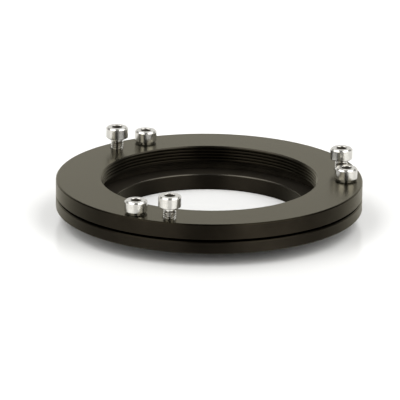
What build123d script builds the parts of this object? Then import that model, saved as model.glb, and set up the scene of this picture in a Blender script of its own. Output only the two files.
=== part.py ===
from build123d import *
import math
import os

# Push-pull tilt adapter: two black-anodised rings that face each other across
# a narrow gap, held at any small tilt by three pairs of screws.  All in mm.
# Frame: origin at the centre of the boss's end face, +Z up the optical axis.

# ---- rings -----------------------------------------------------------------
OUTER_R = 48.0            # both rings, outside diameter 96
EDGE_CHAMFER = 0.35       # outer edges of both rings
BOSS_H = 4.0              # threaded boss below the base ring
BASE_T = 3.8              # base ring flange
GAP = 0.5                 # gap between the rings when square
TOP_T = 5.1               # tilting ring
Z_FLANGE = BOSS_H                     # 4.0  underside of the flange
Z_BASE = Z_FLANGE + BASE_T            # 7.8  top of the base ring
Z_UNDER = Z_BASE + GAP                # 8.3  underside of the tilting ring
Z_TOP = Z_UNDER + TOP_T               # 13.4 top face of the tilting ring

# ---- M68 x 1 threads, drawn as plain walls ---------------------------------
MALE_R = 34.0             # major radius of the boss's external thread
RELIEF_R = 33.2           # run-out groove under the flange
RELIEF_H = 0.7
MALE_LEAD = 0.5           # lead chamfer at the boss's end
FEMALE_R = 33.46          # minor radius of the internal thread
FEMALE_LEAD = 0.45        # lead chamfer, both ends

# ---- light path ------------------------------------------------------------
BORE_R = 29.7             # clear bore through the boss
RECESS_R = 38.0           # wide recess in the base ring, behind the tilting ring's edge
Z_LEDGE = 5.2             # floor of that recess
BORE_CHAMFER = 0.25

# ---- light seal ------------------------------------------------------------
SEAL_R1, SEAL_R2 = 36.1, 37.9   # stands in the recess, against its wall

# ---- screw stations --------------------------------------------------------
PITCH_R = 42.8            # radius of all six screw axes
STATION_C = 6.35          # bearing of station c; a and b follow at 120 and 240
HALF_PAIR = 7.55          # half the angle between a station's two screws
STATIONS = {"c": STATION_C, "a": STATION_C + 120.0, "b": STATION_C + 240.0}

# ---- M4 socket head cap screw ----------------------------------------------
THREAD_R = 2.0
TAPPED_R = 2.05           # tapped holes, drawn as plain walls with clearance
CLEAR_R = 2.2             # clearance holes for the pull screws
HEAD_R = 3.5
HEAD_H = 4.0              # including the seat under the head
HEAD_CHAMFER = 0.45
SEAT_R = 2.5              # raised seat under the head
SEAT_H = 0.45
UNDER_R = 3.3             # the head's lower edge is bevelled from here
UNDER_TOP = 0.65
SOCKET_AF = 3.0
SOCKET_D = 2.0
TIP_CHAMFER = 0.4
DOME_R, DOME_EDGE = 5.0, 1.3   # rounded point of the push screws
PULL_LEN = 8.0
PUSH_LEN = 10.0
PUSH_LIFT = 3.0           # thread showing between the face and a push head

# ---- contact pads ----------------------------------------------------------
POCKET_R = 2.45
PAD_R = 2.35
PAD_T = 0.8
Z_TIP = Z_TOP + PUSH_LIFT - PUSH_LEN  # 6.4 where each push screw ends
Z_POCKET = Z_TIP - PAD_T              # 5.6 floor of the pad pocket


def spin(points):
    """Solid of revolution about Z from (r, z) points."""
    wire = Polyline(*[(r, 0, z) for r, z in points], close=True)
    return revolve(make_face(wire), axis=Axis.Z, revolution_arc=360)


def drum(x, y, r, z0, z1):
    return Pos(x, y, (z0 + z1) / 2) * Cylinder(r, z1 - z0)


def spot(station, side):
    """Centre of a screw: side +1 is the push screw, -1 the pull screw."""
    a = math.radians(STATIONS[station] + side * HALF_PAIR)
    return PITCH_R * math.cos(a), PITCH_R * math.sin(a)


def tapped_lead(x, y, r, z, up):
    """Small countersink cone that breaks a hole's edge at height z."""
    c = 0.3
    if up:
        pts = [(0, z - c), (r, z - c), (r + c, z), (r + c, z + 0.5), (0, z + 0.5)]
    else:
        pts = [(0, z + c), (r, z + c), (r + c, z), (r + c, z - 0.5), (0, z - 0.5)]
    return Pos(x, y, 0) * spin(pts)


def cap_screw(length, turn, domed=False):
    """Screw with its seat at z = 0, thread pointing down."""
    h = HEAD_H
    if domed:
        sag = DOME_R - math.sqrt(DOME_R ** 2 - DOME_EDGE ** 2)
        half = DOME_R - math.sqrt(DOME_R ** 2 - (DOME_EDGE / 2) ** 2)
        edge = (DOME_EDGE, 0, sag - length)
        point = ThreePointArc((0, 0, -length), (DOME_EDGE / 2, 0, half - length), edge)
    else:
        edge = (THREAD_R - TIP_CHAMFER, 0, -length)
        point = Line((0, 0, -length), edge)
    side = Polyline(
        edge, (THREAD_R, 0, edge[2] + THREAD_R - edge[0]),
        (THREAD_R, 0, 0), (SEAT_R, 0, 0), (SEAT_R, 0, SEAT_H),
        (UNDER_R, 0, SEAT_H), (HEAD_R, 0, UNDER_TOP),
        (HEAD_R, 0, h - HEAD_CHAMFER), (HEAD_R - HEAD_CHAMFER, 0, h), (0, 0, h), (0, 0, -length))
    body = revolve(make_face([point, *side.edges()]), axis=Axis.Z, revolution_arc=360)
    across_corners = SOCKET_AF / math.cos(math.radians(30)) / 2
    hexagon = RegularPolygon(across_corners, 6, rotation=turn)
    socket = Pos(0, 0, h - SOCKET_D) * extrude(hexagon, SOCKET_D + 1)
    drill = Pos(0, 0, h - SOCKET_D) * spin([(0, -0.6), (1.35, 0), (1.35, 0.2), (0, 0.2)])
    mouth = spin([(0, h - 0.16), (1.5, h - 0.16), (1.76, h + 0.1), (0, h + 0.1)])
    return body - socket - drill - mouth


# ---- base ring -------------------------------------------------------------
e = EDGE_CHAMFER
base = spin([
    (BORE_R + BORE_CHAMFER, 0), (MALE_R - MALE_LEAD, 0), (MALE_R, MALE_LEAD),
    (MALE_R, Z_FLANGE - RELIEF_H), (RELIEF_R, Z_FLANGE - RELIEF_H + 0.25),
    (RELIEF_R, Z_FLANGE), (OUTER_R - e, Z_FLANGE), (OUTER_R, Z_FLANGE + e),
    (OUTER_R, Z_BASE - e), (OUTER_R - e, Z_BASE),
    (RECESS_R + BORE_CHAMFER, Z_BASE), (RECESS_R, Z_BASE - BORE_CHAMFER),
    (RECESS_R, Z_LEDGE), (BORE_R + BORE_CHAMFER, Z_LEDGE), (BORE_R, Z_LEDGE - BORE_CHAMFER),
    (BORE_R, BORE_CHAMFER)])
for s in STATIONS:
    x, y = spot(s, -1)
    base -= drum(x, y, TAPPED_R, Z_FLANGE - 1, Z_BASE + 1)
    base -= tapped_lead(x, y, TAPPED_R, Z_FLANGE, False)
    base -= tapped_lead(x, y, TAPPED_R, Z_BASE, True)
    x, y = spot(s, +1)
    base -= drum(x, y, POCKET_R, Z_POCKET, Z_BASE + 1)

# ---- tilting ring ----------------------------------------------------------
top = spin([
    (FEMALE_R + FEMALE_LEAD, Z_UNDER), (OUTER_R - e, Z_UNDER), (OUTER_R, Z_UNDER + e),
    (OUTER_R, Z_TOP - e), (OUTER_R - e, Z_TOP), (FEMALE_R + FEMALE_LEAD, Z_TOP),
    (FEMALE_R, Z_TOP - FEMALE_LEAD), (FEMALE_R, Z_UNDER + FEMALE_LEAD)])
for s in STATIONS:
    x, y = spot(s, -1)
    top -= drum(x, y, CLEAR_R, Z_UNDER - 1, Z_TOP + 1)
    x, y = spot(s, +1)
    top -= drum(x, y, TAPPED_R, Z_UNDER - 1, Z_TOP + 1)
    top -= tapped_lead(x, y, TAPPED_R, Z_UNDER, False)
    top -= tapped_lead(x, y, TAPPED_R, Z_TOP, True)

# ---- light seal: elastomer ring that bridges the gap from the recess floor ---
seal = spin([(SEAL_R1, Z_LEDGE), (SEAL_R2, Z_LEDGE), (SEAL_R2, Z_UNDER), (SEAL_R1, Z_UNDER)])

os.makedirs("parts", exist_ok=True)
nodes = {"base_ring": base, "tilt_ring": top, "light_seal": seal}

# ---- screws and pads -------------------------------------------------------
turns = {"a": (8, 24), "b": (0, 17), "c": (12, 3)}
for s in STATIONS:
    x, y = spot(s, +1)
    nodes["push_screw_" + s] = Pos(x, y, Z_TOP + PUSH_LIFT) * cap_screw(PUSH_LEN, turns[s][0], domed=True)
    nodes["contact_pad_" + s] = Pos(x, y, 0) * spin([
        (0, Z_POCKET), (PAD_R - 0.1, Z_POCKET), (PAD_R, Z_POCKET + 0.1),
        (PAD_R, Z_TIP - 0.1), (PAD_R - 0.1, Z_TIP), (0, Z_TIP)])
    x, y = spot(s, -1)
    nodes["pull_screw_" + s] = Pos(x, y, Z_TOP) * cap_screw(PULL_LEN, turns[s][1])

for name, shape in nodes.items():
    export_step(shape, "parts/" + name + ".step")
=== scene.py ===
import bmesh
import bpy
import math
import numpy as np
from mathutils import Matrix, Vector


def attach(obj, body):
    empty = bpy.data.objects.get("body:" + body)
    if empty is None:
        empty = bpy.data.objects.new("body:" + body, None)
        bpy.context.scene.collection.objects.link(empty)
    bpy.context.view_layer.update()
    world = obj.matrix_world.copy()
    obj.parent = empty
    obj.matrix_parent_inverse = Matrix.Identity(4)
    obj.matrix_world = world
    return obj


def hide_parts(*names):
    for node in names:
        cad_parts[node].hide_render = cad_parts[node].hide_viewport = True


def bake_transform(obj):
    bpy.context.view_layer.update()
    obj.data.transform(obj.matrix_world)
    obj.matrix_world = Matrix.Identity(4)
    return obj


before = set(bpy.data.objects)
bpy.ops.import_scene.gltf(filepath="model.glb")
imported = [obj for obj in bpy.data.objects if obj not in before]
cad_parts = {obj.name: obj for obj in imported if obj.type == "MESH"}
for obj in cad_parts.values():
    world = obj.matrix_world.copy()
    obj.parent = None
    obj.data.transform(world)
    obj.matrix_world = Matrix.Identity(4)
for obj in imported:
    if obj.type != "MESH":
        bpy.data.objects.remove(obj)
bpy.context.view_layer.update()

# ---------------------------------------------------------------------------
# Sizes, in millimetres, in the shared frame: +Z up the optical axis.
# ---------------------------------------------------------------------------
MM = 0.001
TAU = 2.0 * math.pi
OUTER_R = 48.0
EDGE = 0.35
Z_FLANGE, Z_BASE, Z_UNDER, Z_TOP = 4.0, 7.8, 8.3, 13.4
PITCH_R = 42.8
STATIONS = {"c": 6.35, "a": 126.35, "b": 246.35}
HALF_PAIR = 7.55
PUSH_LIFT = 3.0
SEGS = 720            # columns round each ring
M68_PITCH = 1.0
FEMALE_MINOR, FEMALE_MAJOR = 33.46, 34.0
MALE_MAJOR, MALE_MINOR = 33.97, 33.36
M4_PITCH, M4_MAJOR, M4_MINOR = 0.7, 2.0, 1.57
HEAD_R, HEAD_H = 3.5, 4.0


def spot(station, side):
    a = math.radians(STATIONS[station] + side * HALF_PAIR)
    return PITCH_R * math.cos(a), PITCH_R * math.sin(a)


# ---------------------------------------------------------------------------
# Mesh tools
# ---------------------------------------------------------------------------
def ring_theta(n):
    return np.arange(n) * TAU / n


def flat_loop(r, z, n):
    """One loop of a lathe grid: r and z may be numbers or arrays over the columns."""
    out = np.empty((n, 2))
    out[:, 0] = r
    out[:, 1] = z
    return out


def thread_loops(n, pitch, minor, major, z0, z1, internal, env, rows=None, crest=0.25, root=0.14):
    """Loops of a right-hand helical thread between z0 and z1, going up.

    env(z) gives the lead-chamfer radius that the thread is cut back to.
    Returns (loops, rows per pitch), for a grid whose seam shifts by one pitch.
    """
    if internal:
        marks = [(0.0, major), (root / 2 * 0.75, major), (root / 2 + 0.03, major - 0.03 * pitch * 1.2)]
        marks += [(0.5 - crest / 2 - 0.035, minor + 0.035 * pitch * 1.4), (0.5 - crest / 2 + 0.02, minor), (0.5, minor)]
    else:
        marks = [(0.0, minor), (root / 2 * 0.75, minor), (root / 2 + 0.03, minor + 0.03 * pitch * 1.2)]
        marks += [(0.5 - crest / 2 - 0.035, major - 0.035 * pitch * 1.4), (0.5 - crest / 2 + 0.02, major), (0.5, major)]
    mirrored = [(1.0 - u, r) for u, r in reversed(marks[1:-1])]
    prof = marks + mirrored
    per = len(prof)
    th = ring_theta(n)
    turns = int(math.ceil((z1 - z0) / pitch)) + 3
    loops = []
    for k in range(-per * 2, per * turns):
        u, r = prof[k % per]
        z = z0 + pitch * (k // per + u) + pitch * th / TAU
        z = np.where(z < z0 + 0.005, z0, np.where(z > z1 - 0.005, z1, z))
        zc = z
        lim = env(zc)
        rr = np.maximum(r, lim) if internal else np.minimum(r, lim)
        rr = np.where((z <= z0) | (z >= z1), lim, rr)
        loops.append(np.stack([rr, zc], axis=1))
    return loops, per


class Solid:
    """Collects lathe grids and fills in one mesh, welding shared points."""

    def __init__(self):
        self.v, self.f, self.n = [], [], 0

    def grid(self, loops, shift=0, at=(0.0, 0.0), flip=False, cap_start=False, cap_end=False, turn=0.0):
        n = len(loops[0])
        th = ring_theta(n) + turn
        co = np.empty((len(loops), n, 3))
        for i, lp in enumerate(loops):
            co[i, :, 0] = at[0] + lp[:, 0] * np.cos(th)
            co[i, :, 1] = at[1] + lp[:, 0] * np.sin(th)
            co[i, :, 2] = lp[:, 1]
        base = self.n
        self.v.append(co.reshape(-1, 3))
        rows = len(loops)
        self.n += rows * n
        last = rows - 1
        faces = []
        for i in range(last):
            a0 = base + i * n
            b0 = a0 + n
            for j in range(n - 1):
                q = (a0 + j, a0 + j + 1, b0 + j + 1, b0 + j)
                faces.append(q[::-1] if flip else q)
            i0 = min(i + shift, last)
            i1 = min(i + 1 + shift, last)
            q = (a0 + n - 1, base + i0 * n, base + i1 * n, b0 + n - 1)
            faces.append(q[::-1] if flip else q)
        if shift:
            # the start of the helix: column 0's first rows meet the last column's first point
            for i in range(shift):
                q = (base + n - 1, base + i * n, base + (i + 1) * n)
                faces.append(q[::-1] if flip else q)
        if cap_start:
            c = tuple(base + j for j in range(n))
            faces.append(c if flip else c[::-1])
        if cap_end:
            c = tuple(base + last * n + j for j in range(n))
            faces.append(c[::-1] if flip else c)
        self.f += faces

    def build(self, name, fills=(), sharp=28.0, weld=2e-6):
        v = np.concatenate(self.v) * MM
        me = bpy.data.meshes.new(name)
        me.from_pydata(v.tolist(), [], self.f)
        bm = bmesh.new()
        bm.from_mesh(me)
        bmesh.ops.remove_doubles(bm, verts=bm.verts, dist=weld)
        bmesh.ops.dissolve_degenerate(bm, edges=bm.edges, dist=weld / 2)
        for z in fills:
            edges = [e for e in bm.edges if e.is_boundary
                     and abs(e.verts[0].co.z - z * MM) < 1e-6 and abs(e.verts[1].co.z - z * MM) < 1e-6]
            bmesh.ops.triangle_fill(bm, edges=edges, use_beauty=True, use_dissolve=False)
        bmesh.ops.recalc_face_normals(bm, faces=bm.faces)
        loose = [x for x in bm.verts if not x.link_faces]
        bmesh.ops.delete(bm, geom=loose, context="VERTS")
        bm.to_mesh(me)
        bm.free()
        me.validate()
        for p in me.polygons:
            p.use_smooth = True
        me.set_sharp_from_angle(angle=math.radians(sharp))
        ob = bpy.data.objects.new(name, me)
        bpy.context.scene.collection.objects.link(ob)
        return ob


def support(points, d=0.06):
    """Adds a point just inside each end of every longer run, so that the rounding
    of an edge stays at the edge and flat faces stay flat."""
    out = [points[0]]
    for p, q in zip(points[:-1], points[1:]):
        length = math.hypot(q[0] - p[0], q[1] - p[1])
        if length > 5 * d:
            k = d / length
            out.append((p[0] + (q[0] - p[0]) * k, p[1] + (q[1] - p[1]) * k))
            out.append((q[0] - (q[0] - p[0]) * k, q[1] - (q[1] - p[1]) * k))
        out.append(q)
    return out


def loops_of(points, n, d=0.06):
    return [flat_loop(r, z, n) for r, z in support(points, d)]


def hole(solid, x, y, pts, n=64):
    solid.grid(loops_of(pts, n), at=(x, y), flip=True)


# ---------------------------------------------------------------------------
# Tilting ring, with its M68 x 1 internal thread and six screw holes
# ---------------------------------------------------------------------------
def make_tilt_ring():
    s = Solid()
    b = 0.06
    outside = [(OUTER_R - EDGE - b - 0.12, Z_UNDER), (OUTER_R - EDGE - b, Z_UNDER), (OUTER_R - EDGE + b * 0.6, Z_UNDER + b * 0.5), (OUTER_R - b * 0.5, Z_UNDER + EDGE - b * 0.6),
               (OUTER_R, Z_UNDER + EDGE + b), (OUTER_R, Z_UNDER + 1.2), (OUTER_R, (Z_UNDER + Z_TOP) / 2), (OUTER_R, Z_TOP - 1.2),
               (OUTER_R, Z_TOP - EDGE - b), (OUTER_R - b * 0.5, Z_TOP - EDGE + b * 0.6),
               (OUTER_R - EDGE + b * 0.6, Z_TOP - b * 0.5), (OUTER_R - EDGE - b, Z_TOP), (OUTER_R - EDGE - b - 0.12, Z_TOP)]
    s.grid(loops_of(outside, SEGS))
    lead = 0.5

    def env(z):
        c = np.maximum(z - (Z_TOP - lead), (Z_UNDER + lead) - z)
        return np.where(c > 0, FEMALE_MINOR + 0.02 + c * 1.06, 0.0)

    loops, per = thread_loops(SEGS, M68_PITCH, FEMALE_MINOR, FEMALE_MAJOR, Z_UNDER, Z_TOP, True, env)
    s.grid(loops, shift=per, flip=True)
    for st in STATIONS:
        x, y = spot(st, -1)
        hole(s, x, y, [(2.42, Z_UNDER), (2.2, Z_UNDER + 0.22), (2.2, Z_TOP - 0.22), (2.42, Z_TOP)])
        x, y = spot(st, +1)
        hole(s, x, y, [(2.35, Z_UNDER), (2.05, Z_UNDER + 0.3), (2.05, Z_TOP - 0.3), (2.35, Z_TOP)])
    return s.build("tilt_ring_turned", fills=(Z_UNDER, Z_TOP))


# ---------------------------------------------------------------------------
# Base ring: flange, recess for the seal, pad pockets, threaded boss
# ---------------------------------------------------------------------------
def make_base_ring():
    s = Solid()
    b = 0.06
    outside = [(OUTER_R - EDGE - b - 0.12, Z_FLANGE), (OUTER_R - EDGE - b, Z_FLANGE), (OUTER_R - EDGE + b * 0.6, Z_FLANGE + b * 0.5), (OUTER_R - b * 0.5, Z_FLANGE + EDGE - b * 0.6),
               (OUTER_R, Z_FLANGE + EDGE + b), (OUTER_R, (Z_FLANGE + Z_BASE) / 2), (OUTER_R, Z_BASE - EDGE - b), (OUTER_R - b * 0.5, Z_BASE - EDGE + b * 0.6),
               (OUTER_R - EDGE + b * 0.6, Z_BASE - b * 0.5), (OUTER_R - EDGE - b, Z_BASE), (OUTER_R - EDGE - b - 0.12, Z_BASE)]
    s.grid(loops_of(outside, SEGS))
    # wide recess, its floor and the clear bore, then the boss's end face
    inside = [(38.37, Z_BASE), (38.25, Z_BASE), (38.05, Z_BASE - 0.2), (38.0, Z_BASE - 0.3), (38.0, 5.40), (37.95, 5.26), (37.80, 5.2), (29.98, 5.2), (29.78, 5.04),
              (29.7, 4.9), (29.7, 0.3), (29.78, 0.1), (29.98, 0.0), (33.30, 0.0)]
    s.grid(loops_of(inside, SEGS))

    z_lo, z_hi = 0.0, Z_FLANGE - 0.65

    def env(z):
        lead = 33.30 + (z - z_lo) * 1.15
        run = MALE_MAJOR - 0.0 - (z - (z_hi - 0.3)) * 2.4
        return np.minimum(lead, np.where(z > z_hi - 0.3, run, 99.0))

    loops, per = thread_loops(SEGS, M68_PITCH, MALE_MINOR, MALE_MAJOR, z_lo, z_hi, False, env)
    s.grid(loops, shift=per)
    z_end = MALE_MAJOR - 0.3 * 2.4
    relief = [(z_end, z_hi), (33.2, z_hi + 0.07), (33.2, Z_FLANGE - 0.1), (33.3, Z_FLANGE)]
    s.grid(loops_of(relief, SEGS))
    for st in STATIONS:
        x, y = spot(st, -1)
        hole(s, x, y, [(2.35, Z_FLANGE), (2.05, Z_FLANGE + 0.3), (2.05, Z_BASE - 0.3), (2.35, Z_BASE)])
        x, y = spot(st, +1)
        s.grid(loops_of([(0.02, 5.6), (2.35, 5.6), (2.45, 5.7), (2.45, Z_BASE - 0.12), (2.57, Z_BASE)], 64), at=(x, y), flip=True, cap_start=True)
    return s.build("base_ring_turned", fills=(Z_FLANGE, Z_BASE))


# ---------------------------------------------------------------------------
# Screws
# ---------------------------------------------------------------------------
def make_screw(name, x, y, z_seat, length, turn, domed):
    n = 96
    s = Solid()
    h = HEAD_H
    th = ring_theta(n)
    # hexagon socket, 3 mm across flats
    hexr = 1.5 / np.cos((th % (math.pi / 3)) - math.pi / 6)
    z_lo, z_hi = -length, -0.45
    if domed:
        # rounded point that bears on the pad, then the thread's lead
        sag = [5.0 - math.sqrt(25.0 - r * r) for r in (0.35, 0.7, 1.0, 1.2, 1.3)]
        point = [(0.02, z_lo)] + [(r, z_lo + d) for r, d in zip((0.35, 0.7, 1.0, 1.2, 1.3), sag)]
        z_lo += sag[-1]
    else:
        point = [(0.02, z_lo), (1.28, z_lo)]
    r_tip = point[-1][0]

    def env(z):
        tip = r_tip + (z - z_lo) * 1.0
        run = M4_MAJOR - np.maximum(z - (z_hi - 0.25), 0) * 0.7
        return np.minimum(tip, np.where(z > z_hi - 0.25, run, 99.0))

    loops, per = thread_loops(n, M4_PITCH, M4_MINOR, M4_MAJOR, z_lo, z_hi, False, env, crest=0.2, root=0.2)
    s.grid(loops_of(point, n), cap_start=True)
    s.grid(loops, shift=per)
    r_run = M4_MAJOR - 0.25 * 0.7
    f = 0.05
    head = [(r_run, z_hi), (r_run, -0.14), (r_run + 0.04, -0.05), (r_run + 0.14, 0.0),
            (2.50 - f, 0.0), (2.50, f), (2.50, 0.41), (2.54, 0.45),
            (3.3 - f, 0.45), (3.3 + 0.5 * f, 0.45 + 0.4 * f), (HEAD_R - 0.4 * f, 0.65 - 0.6 * f), (HEAD_R, 0.65 + f),
            (HEAD_R, 1.6), (HEAD_R, 2.2), (HEAD_R, 2.9), (HEAD_R, h - 0.45 - f), (HEAD_R - 0.4 * f, h - 0.45 + 0.6 * f),
            (HEAD_R - 0.45 + 0.6 * f, h - 0.4 * f), (HEAD_R - 0.45 - f, h), (2.4, h), (1.76, h)]
    top = loops_of(head, n, 0.04)
    # lightly countersunk mouth: a cone that meets the six flats in curves
    top.append(np.stack([hexr, h - (1.76 - hexr) * 0.6 - 0.02], axis=1))
    top.append(np.stack([hexr, np.full(n, h - 0.9)], axis=1))
    top.append(np.stack([hexr, np.full(n, h - 1.9)], axis=1))
    top.append(np.stack([hexr * 0.94, np.full(n, h - 1.98)], axis=1))
    top.append(flat_loop(0.9, h - 2.15, n))
    top.append(flat_loop(0.02, h - 2.5, n))
    s.grid(top, cap_end=True)
    ob = s.build(name, sharp=32.0, weld=1e-6)
    ob.data.transform(Matrix.Translation((x * MM, y * MM, z_seat * MM)) @ Matrix.Rotation(math.radians(turn), 4, "Z"))
    return ob


def make_pad(name, x, y):
    s = Solid()
    n = 72
    s.grid(loops_of([(0.02, 5.6), (2.2, 5.6), (2.3, 5.63), (2.35, 5.7), (2.35, 6.28), (2.32, 6.36), (2.22, 6.4), (1.5, 6.4),
                     (1.1, 6.395), (0.02, 6.395)], n), cap_start=True, cap_end=True)
    ob = s.build(name, sharp=40.0, weld=1e-6)
    ob.data.transform(Matrix.Translation((x * MM, y * MM, 0)))
    return ob


def make_seal():
    """The elastomer seal on the recess floor, in two meshes that meet at its groove:
    a foot, and a rounded lip under the tilting ring."""
    foot = Solid()
    rise = [5.32 + 0.14 * i for i in range(9)]          # rows for the foot to bend over
    prof = [(36.15, 5.23)] + [(36.1, z) for z in rise] + [(36.12, 6.55), (36.2, 6.60), (36.35, 6.61), (37.65, 6.61), (37.8, 6.60), (37.88, 6.55)]
    prof += [(37.9, z) for z in reversed(rise)] + [(37.85, 5.23), (37.7, 5.2), (36.3, 5.2), (36.15, 5.23)]
    foot.grid([flat_loop(r, z, 360) for r, z in prof], flip=True)
    lip = Solid()
    prof = [(36.35, 6.62), (36.2, 6.63), (36.12, 6.68), (36.1, 6.76), (36.1, 6.92), (36.1, 7.08), (36.1, 7.24), (36.1, 7.40), (36.14, 7.55), (36.24, 7.68), (36.42, 7.80), (36.56, 7.94),
            (36.64, 8.08), (36.72, 8.2), (36.86, 8.275), (37.0, 8.29), (37.14, 8.275), (37.28, 8.2), (37.36, 8.08), (37.44, 7.94), (37.58, 7.80), (37.76, 7.68),
            (37.86, 7.55), (37.9, 7.40), (37.9, 7.24), (37.9, 7.08), (37.9, 6.92), (37.9, 6.76), (37.88, 6.68), (37.8, 6.63), (37.65, 6.62), (36.35, 6.62)]
    lip.grid([flat_loop(r, z, 360) for r, z in prof], flip=True)
    return foot.build("light_seal_foot", sharp=50.0), lip.build("light_seal_lip", sharp=50.0)


# ---------------------------------------------------------------------------
# Materials
# ---------------------------------------------------------------------------
class Nodes:
    def __init__(self, name):
        self.m = bpy.data.materials.new(name)
        self.m.use_nodes = True
        self.t = self.m.node_tree
        self.t.nodes.clear()
        self.out = self.t.nodes.new("ShaderNodeOutputMaterial")
        self.b = self.t.nodes.new("ShaderNodeBsdfPrincipled")
        self.t.links.new(self.b.outputs[0], self.out.inputs[0])
        tc = self.t.nodes.new("ShaderNodeTexCoord")
        sc = self.t.nodes.new("ShaderNodeVectorMath")
        sc.operation = "SCALE"
        sc.inputs[3].default_value = 1000.0
        self.t.links.new(tc.outputs["Object"], sc.inputs[0])
        self.mm = sc.outputs[0]
        sep = self.t.nodes.new("ShaderNodeSeparateXYZ")
        self.t.links.new(self.mm, sep.inputs[0])
        self.x, self.y, self.z = sep.outputs

    def math(self, op, a, b=None, c=None, clamp=False):
        n = self.t.nodes.new("ShaderNodeMath")
        n.operation = op
        n.use_clamp = clamp
        for i, v in enumerate((a, b, c)):
            if v is None:
                continue
            if isinstance(v, (int, float)):
                n.inputs[i].default_value = v
            else:
                self.t.links.new(v, n.inputs[i])
        return n.outputs[0]

    def noise1(self, w, scale, detail=2.0, rough=0.6):
        n = self.t.nodes.new("ShaderNodeTexNoise")
        n.noise_dimensions = "1D"
        self.t.links.new(w, n.inputs["W"])
        n.inputs["Scale"].default_value = scale
        n.inputs["Detail"].default_value = detail
        n.inputs["Roughness"].default_value = rough
        return n.outputs[0]

    def noise3(self, v, scale, detail=3.0, rough=0.55, stretch=None):
        n = self.t.nodes.new("ShaderNodeTexNoise")
        n.noise_dimensions = "3D"
        if stretch:
            mp = self.t.nodes.new("ShaderNodeMapping")
            mp.inputs["Scale"].default_value = stretch
            self.t.links.new(v, mp.inputs[0])
            v = mp.outputs[0]
        self.t.links.new(v, n.inputs["Vector"])
        n.inputs["Scale"].default_value = scale
        n.inputs["Detail"].default_value = detail
        n.inputs["Roughness"].default_value = rough
        return n.outputs[0]

    def radius(self, cx=0.0, cy=0.0):
        dx = self.math("SUBTRACT", self.x, cx)
        dy = self.math("SUBTRACT", self.y, cy)
        return self.math("SQRT", self.math("ADD", self.math("MULTIPLY", dx, dx), self.math("MULTIPLY", dy, dy)))

    def ramp(self, fac, stops):
        n = self.t.nodes.new("ShaderNodeValToRGB")
        cr = n.color_ramp
        while len(cr.elements) > len(stops):
            cr.elements.remove(cr.elements[-1])
        while len(cr.elements) < len(stops):
            cr.elements.new(0.5)
        for e, (p, c) in zip(cr.elements, stops):
            e.position = p
            e.color = (*c, 1.0) if len(c) == 3 else c
        self.t.links.new(fac, n.inputs[0])
        return n.outputs[0]

    def range(self, v, a, b, c, d):
        n = self.t.nodes.new("ShaderNodeMapRange")
        self.t.links.new(v, n.inputs[0])
        for i, k in enumerate((a, b, c, d)):
            n.inputs[i + 1].default_value = k
        return n.outputs[0]

    def bump(self, height, strength, dist, normal=None):
        n = self.t.nodes.new("ShaderNodeBump")
        n.inputs["Strength"].default_value = strength
        n.inputs["Distance"].default_value = dist
        self.t.links.new(height, n.inputs["Height"])
        if normal is not None:
            self.t.links.new(normal, n.inputs["Normal"])
        return n.outputs[0]

    def band(self, v, lo, hi, soft):
        """1 between lo and hi, falling to 0 over soft on each side."""
        up = self.range(v, lo - soft, lo, 0.0, 1.0)
        down = self.range(v, hi, hi + soft, 1.0, 0.0)
        return self.math("MULTIPLY", up, down)

    def turned(self, amount):
        """Tool marks run round the axis, so highlights spread across them."""
        n = self.t.nodes.new("ShaderNodeTangent")
        n.direction_type = "RADIAL"
        n.axis = "Z"
        self.t.links.new(n.outputs[0], self.b.inputs["Tangent"])
        self.b.inputs["Anisotropic"].default_value = amount
        self.b.inputs["Anisotropic Rotation"].default_value = 0.25

    def to(self, socket, v):
        if isinstance(v, (int, float, tuple)):
            self.b.inputs[socket].default_value = v
        else:
            self.t.links.new(v, self.b.inputs[socket])


def anodised(name, base=(0.0088, 0.0074, 0.0046), rough=(0.20, 0.28), tint=(0.97, 0.94, 0.84, 1.0), turned=0.0, edges=(), metal=1.0):
    """Black anodised, fine-turned aluminium: rings of tool marks and a faintly mottled dye."""
    k = Nodes(name)
    r = k.radius()
    fine_r = k.noise1(r, 5.5, 3.0, 0.65)
    broad_r = k.noise1(r, 0.9, 1.0)
    fine_z = k.noise1(k.z, 7.0, 3.0, 0.65)
    mottle = k.noise3(k.mm, 0.06, 4.0, 0.6)
    grain = k.noise3(k.mm, 9.0, 2.0, 0.6)
    dye = k.math("ADD", k.math("MULTIPLY", mottle, 0.75), k.math("MULTIPLY", grain, 0.25))
    lo = tuple(c * 0.72 for c in base)
    hi = tuple(c * 1.45 for c in base)
    colour = k.ramp(dye, [(0.32, lo), (0.5, base), (0.70, hi)])
    for (r0, r1, z0, z1), edge_highlight_colour in edges:
        # painted highlight: the listed edge bands get a lighter, mottled colour so that their highlight lines show
        edge_highlight_mask = k.math("MULTIPLY", k.band(r, r0, r1, 0.05), k.band(k.z, z0, z1, 0.05))
        edge_highlight_mask = k.math("MULTIPLY", edge_highlight_mask, k.range(mottle, 0.35, 0.60, 0.55, 1.0), clamp=True)
        mix = k.t.nodes.new("ShaderNodeMix")
        mix.data_type = "RGBA"
        k.t.links.new(edge_highlight_mask, mix.inputs["Factor"])
        k.t.links.new(colour, mix.inputs[6])
        mix.inputs[7].default_value = (*edge_highlight_colour, 1.0)
        colour = mix.outputs[2]
    k.to("Base Color", colour)
    k.to("Metallic", metal)
    k.to("Specular Tint", tint)
    marks = k.math("ADD", k.math("MULTIPLY", fine_r, 0.5), k.math("MULTIPLY", fine_z, 0.5))
    rr = k.math("ADD", k.math("MULTIPLY", marks, 0.6), k.math("MULTIPLY", grain, 0.4))
    k.to("Roughness", k.range(rr, 0.35, 0.65, rough[0], rough[1]))
    h = k.math("ADD", marks, k.math("MULTIPLY", broad_r, 0.5))
    n1 = k.bump(h, 0.10, 0.00003)
    n2 = k.bump(grain, 0.05, 0.00002, n1)
    k.to("Normal", n2)
    if turned:
        k.turned(turned)
    return k.m


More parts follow.
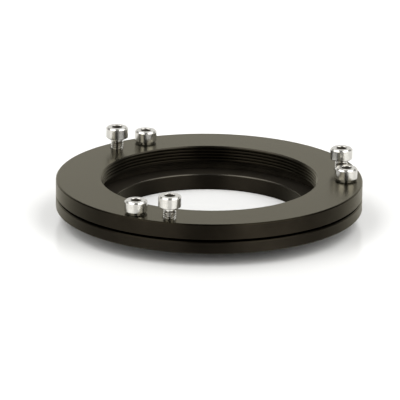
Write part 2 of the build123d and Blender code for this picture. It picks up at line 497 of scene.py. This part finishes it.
def bright_steel(name, cx, cy, z_seat, base=(0.585, 0.572, 0.535)):
    """Bright turned stainless: faint rings on the head's top and side, and painted shade darkening the thread roots and
    the socket.
    """
    k = Nodes(name)
    r = k.radius(cx, cy)
    rings = k.noise1(r, 9.0, 2.0)
    lines = k.noise1(k.z, 14.0, 3.0, 0.7)
    spots = k.noise3(k.mm, 1.1, 4.0, 0.65)
    fine = k.noise3(k.mm, 16.0, 2.0, 0.6)
    depth = k.range(r, 1.60, 1.82, 1.0, 0.0)           # painted shade: thread roots and the socket are darkened
    below = k.range(k.z, z_seat - 0.1, z_seat + 0.3, 1.0, 0.0)
    inside = k.range(r, 1.70, 1.77, 1.0, 0.0)
    above = k.range(k.z, z_seat + HEAD_H - 0.14, z_seat + HEAD_H - 0.05, 1.0, 0.0)
    recess_shade = k.math("MAXIMUM", k.math("MULTIPLY", depth, below), k.math("MULTIPLY", inside, above))
    recess_shade = k.math("MULTIPLY", recess_shade, k.range(spots, 0.3, 0.7, 0.65, 1.0), clamp=True)
    mix = k.t.nodes.new("ShaderNodeMix")
    mix.data_type = "RGBA"
    k.t.links.new(recess_shade, mix.inputs["Factor"])
    lo = tuple(c * 0.86 for c in base)
    k.t.links.new(k.ramp(spots, [(0.35, lo), (0.6, base)]), mix.inputs[6])
    # painted shade: the thread roots and socket are mixed towards this dark brown
    mix.inputs[7].default_value = (0.13, 0.112, 0.085, 1.0)
    k.to("Base Color", mix.outputs[2])
    k.to("Metallic", 1.0)
    k.to("Roughness", k.math("ADD", k.range(k.math("ADD", k.math("MULTIPLY", lines, 0.5), k.math("MULTIPLY", spots, 0.5)), 0.35, 0.65, 0.20, 0.26),
                             k.math("SUBTRACT", k.math("MULTIPLY", recess_shade, 0.16), k.math("MULTIPLY", below, 0.11))))
    h = k.math("ADD", k.math("MULTIPLY", rings, 0.5), k.math("MULTIPLY", lines, 0.5))
    n1 = k.bump(h, 0.16, 0.00002)
    k.to("Normal", k.bump(fine, 0.06, 0.00001, n1))
    k.turned(0.30)
    return k.m


def ground_steel(name, cx, cy):
    k = Nodes(name)
    r = k.radius(cx, cy)
    swirl = k.noise1(r, 8.0, 3.0)
    scratch = k.noise3(k.mm, 2.0, 4.0, 0.7, stretch=(1.0, 14.0, 1.0))
    k.to("Base Color", k.ramp(scratch, [(0.3, (0.30, 0.30, 0.31)), (0.7, (0.45, 0.45, 0.46))]))
    k.to("Metallic", 1.0)
    k.to("Roughness", k.range(scratch, 0.3, 0.7, 0.22, 0.38))
    k.to("Normal", k.bump(k.math("ADD", swirl, scratch), 0.15, 0.00003))
    return k.m


def soft_rubber(name):
    k = Nodes(name)
    fine = k.noise3(k.mm, 6.0, 4.0, 0.6)
    broad = k.noise3(k.mm, 0.15, 2.0)
    k.to("Base Color", k.ramp(broad, [(0.35, (0.0075, 0.0060, 0.0036)), (0.65, (0.0130, 0.0104, 0.0066))]))
    k.to("Roughness", k.range(fine, 0.3, 0.7, 0.6, 0.85))
    k.to("Specular IOR Level", 0.06)
    k.to("Normal", k.bump(fine, 0.3, 0.00005))
    return k.m


# ---------------------------------------------------------------------------
# Build the pieces; the rings, screws and pads go on CAD bodies, the seal is left unattached
# ---------------------------------------------------------------------------
# edge bands, each with a lighter colour: painted highlight lines on the rim and the ledge edge
RIM_HIGHLIGHT_EDGE = ((33.70, 33.98, 12.9, 13.45), (0.030, 0.027, 0.021))
LEDGE_HIGHLIGHT_EDGE = ((29.68, 30.02, 4.94, 5.25), (0.060, 0.055, 0.045))
ring_mat = anodised("black_anodised_turned", edges=(RIM_HIGHLIGHT_EDGE,))
base_mat = anodised("black_anodised_base", base=(0.0084, 0.0070, 0.0046), edges=(LEDGE_HIGHLIGHT_EDGE,))
ring_wall = anodised("black_anodised_wall", base=(0.0160, 0.0133, 0.0094), rough=(0.39, 0.45), turned=0.94, edges=(RIM_HIGHLIGHT_EDGE,))
base_wall = anodised("black_anodised_base_wall", base=(0.0150, 0.0126, 0.0092), rough=(0.39, 0.45), turned=0.94, edges=(LEDGE_HIGHLIGHT_EDGE,))


base_recess = anodised("black_anodised_recess", base=(0.0165, 0.0132, 0.0088), rough=(0.50, 0.60), metal=0.50)


def wall_slots(ob, face, wall, recess=None):
    """The upright turned walls take the second material, the recess the third."""
    for m in (face, wall, recess):
        if m:
            ob.data.materials.append(m)
    for p in ob.data.polygons:
        r = math.hypot(p.center.x, p.center.y) / MM
        z = p.center.z / MM
        if recess and 30.05 < r < 38.2 and 5.15 < z < 7.7:
            p.material_index = 2
        elif abs(p.normal.z) < 0.3:
            p.material_index = 1

tilt = make_tilt_ring()
wall_slots(tilt, ring_mat, ring_wall)
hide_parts("tilt_ring")
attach(tilt, "tilt_ring")

base = make_base_ring()
wall_slots(base, base_mat, base_wall, base_recess)
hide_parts("base_ring")
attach(base, "base")

rubber = soft_rubber("seal_elastomer")
foot, lip = make_seal()
for part in (foot, lip):
    part.data.materials.append(rubber)
    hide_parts("light_seal")
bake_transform(foot)
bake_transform(lip)

turns = {"a": (8, 24), "b": (0, 17), "c": (12, 3)}
for st in STATIONS:
    for side, kind, length, lift, turn in ((+1, "push", 10.0, PUSH_LIFT, turns[st][0]), (-1, "pull", 8.0, 0.0, turns[st][1])):
        x, y = spot(st, side)
        node = f"{kind}_screw_{st}"
        ob = make_screw(node + "_m4", x, y, Z_TOP + lift, length, turn, kind == "push")
        ob.data.materials.append(bright_steel(node + "_steel", x, y, Z_TOP + lift))
        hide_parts(node)
        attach(ob, node)
    x, y = spot(st, +1)
    pad = make_pad("contact_pad_%s_disc" % st, x, y)
    pad.data.materials.append(ground_steel("pad_steel_" + st, x, y))
    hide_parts("contact_pad_" + st)
    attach(pad, "base")

# ---------------------------------------------------------------------------
# Floor, light, camera
# ---------------------------------------------------------------------------
def make_floor():
    me = bpy.data.meshes.new("floor")
    me.from_pydata([(-6, -6, 0), (6, -6, 0), (6, 6, 0), (-6, 6, 0)], [], [(0, 1, 2, 3)])
    ob = bpy.data.objects.new("floor", me)
    bpy.context.scene.collection.objects.link(ob)
    m = bpy.data.materials.new("floor_white")
    m.use_nodes = True
    b = m.node_tree.nodes["Principled BSDF"]
    b.inputs["Base Color"].default_value = (0.735, 0.735, 0.73, 1)
    b.inputs["Roughness"].default_value = 0.17
    b.inputs["Specular IOR Level"].default_value = 0.3
    me.materials.append(m)
    return ob


make_floor()

world = bpy.data.worlds.new("studio")
bpy.context.scene.world = world
world.use_nodes = True
wt = world.node_tree
bg = wt.nodes["Background"]
bg.inputs[0].default_value = (1.0, 0.995, 0.975, 1.0)


def wmath(op, a, b=None):
    n = wt.nodes.new("ShaderNodeMath")
    n.operation = op
    for i, v in enumerate((a, b)):
        if isinstance(v, (int, float)):
            n.inputs[i].default_value = v
        elif v is not None:
            wt.links.new(v, n.inputs[i])
    return n.outputs[0]


def wrange(v, a, b, c, d):
    n = wt.nodes.new("ShaderNodeMapRange")
    n.interpolation_type = "SMOOTHSTEP"
    wt.links.new(v, n.inputs[0])
    for i, k in enumerate((a, b, c, d)):
        n.inputs[i + 1].default_value = k
    return n.outputs[0]


# White walls under a greyer ceiling. In front of the ring, the dark of the room
# lies between two soft white screens.
coord = wt.nodes.new("ShaderNodeTexCoord")
sepw = wt.nodes.new("ShaderNodeSeparateXYZ")
wt.links.new(coord.outputs["Generated"], sepw.inputs[0])
wx, wy, wz = sepw.outputs
flat = wmath("SQRT", wmath("ADD", wmath("ADD", wmath("MULTIPLY", wx, wx), wmath("MULTIPLY", wy, wy)), 1e-6))
across = wmath("DIVIDE", wmath("ABSOLUTE", wx), flat)
toward = wmath("DIVIDE", wmath("MULTIPLY", wy, -1.0), flat)
walls = wrange(wz, 0.38, 0.52, 1.06, 0.22)
raised = wrange(wz, 0.06, 0.22, 0.0, 1.0)
screens = wmath("ADD", 0.12, wmath("MULTIPLY", raised, wrange(across, 0.28, 0.44, 0.0, 3.3)))
front = wmath("MULTIPLY", wrange(toward, 0.05, 0.35, 0.0, 1.0), wrange(wz, 0.60, 0.85, 1.0, 0.0))
strength = wmath("ADD", wmath("MULTIPLY", walls, wmath("SUBTRACT", 1.0, front)), wmath("MULTIPLY", screens, front))
wt.links.new(strength, bg.inputs[1])


def area(name, pos, target, size, power, size_y=None, colour=(1, 1, 1)):
    d = bpy.data.lights.new(name, "AREA")
    d.energy = power
    d.color = colour
    d.size = size
    if size_y:
        d.shape = "RECTANGLE"
        d.size_y = size_y
    o = bpy.data.objects.new(name, d)
    o.location = pos
    o.rotation_euler = (Vector(target) - Vector(pos)).to_track_quat("-Z", "Y").to_euler()
    bpy.context.scene.collection.objects.link(o)
    return o


# two long softboxes overhead, with a dark gap between them over the ring
for side in (-1, 1):
    area("softbox_%s" % ("left" if side < 0 else "right"), (side * 0.36, 0.0, 0.62), (side * 0.36, 0.0, 0.0), 0.42, 3.7, size_y=0.9)

# Camera: 1.2 m from the top face's centre, 17.3 degrees above the horizon
S, D, E, ROLL = 3.1952, 1200.0, math.radians(17.343), math.radians(0.645)
CX, CY = 208.753, 177.092
F = S * D
cr, sr = math.cos(ROLL), math.sin(ROLL)
C = np.array([0.0, -D * math.cos(E), D * math.sin(E)])
B0 = np.array([[1, 0, 0], [0, math.sin(E), math.cos(E)], [0, math.cos(E), -math.sin(E)]], float).T
dx, dy = CX - 200.0, CY - 200.0
ux, uy = cr * dx - sr * dy, sr * dx + cr * dy
dirc = np.array([ux / F, -uy / F, 1.0])
dirc /= np.linalg.norm(dirc)
ax = np.cross(dirc, [0, 0, 1.0])
sn, cs = np.linalg.norm(ax), dirc[2]
kx, ky, kz = ax / sn
K = np.array([[0, -kz, ky], [kz, 0, -kx], [-ky, kx, 0]])
RM = np.eye(3) + sn * K + (1 - cs) * K @ K
RZ = np.array([[cr, -sr, 0], [sr, cr, 0], [0, 0, 1.0]])
BASIS = B0 @ RM @ RZ
cam_data = bpy.data.cameras.new("camera")
cam = bpy.data.objects.new("camera", cam_data)
bpy.context.scene.collection.objects.link(cam)
cam_data.sensor_width = 36.0
cam_data.lens = F * 36.0 / 400.0
cam_data.clip_start = 0.01
cam_data.clip_end = 50.0
X, Y, Zc = BASIS[:, 0], BASIS[:, 1], -BASIS[:, 2]
loc = (C + np.array([0, 0, Z_TOP])) * MM
cam.matrix_world = Matrix(((X[0], Y[0], Zc[0], loc[0]), (X[1], Y[1], Zc[1], loc[1]), (X[2], Y[2], Zc[2], loc[2]), (0, 0, 0, 1)))
bpy.context.scene.camera = cam

sc = bpy.context.scene
sc.view_settings.view_transform = "Standard"
sc.view_settings.look = "None"
sc.view_settings.exposure = 0.0
sc.view_settings.gamma = 1.0

bpy.context.view_layer.update()
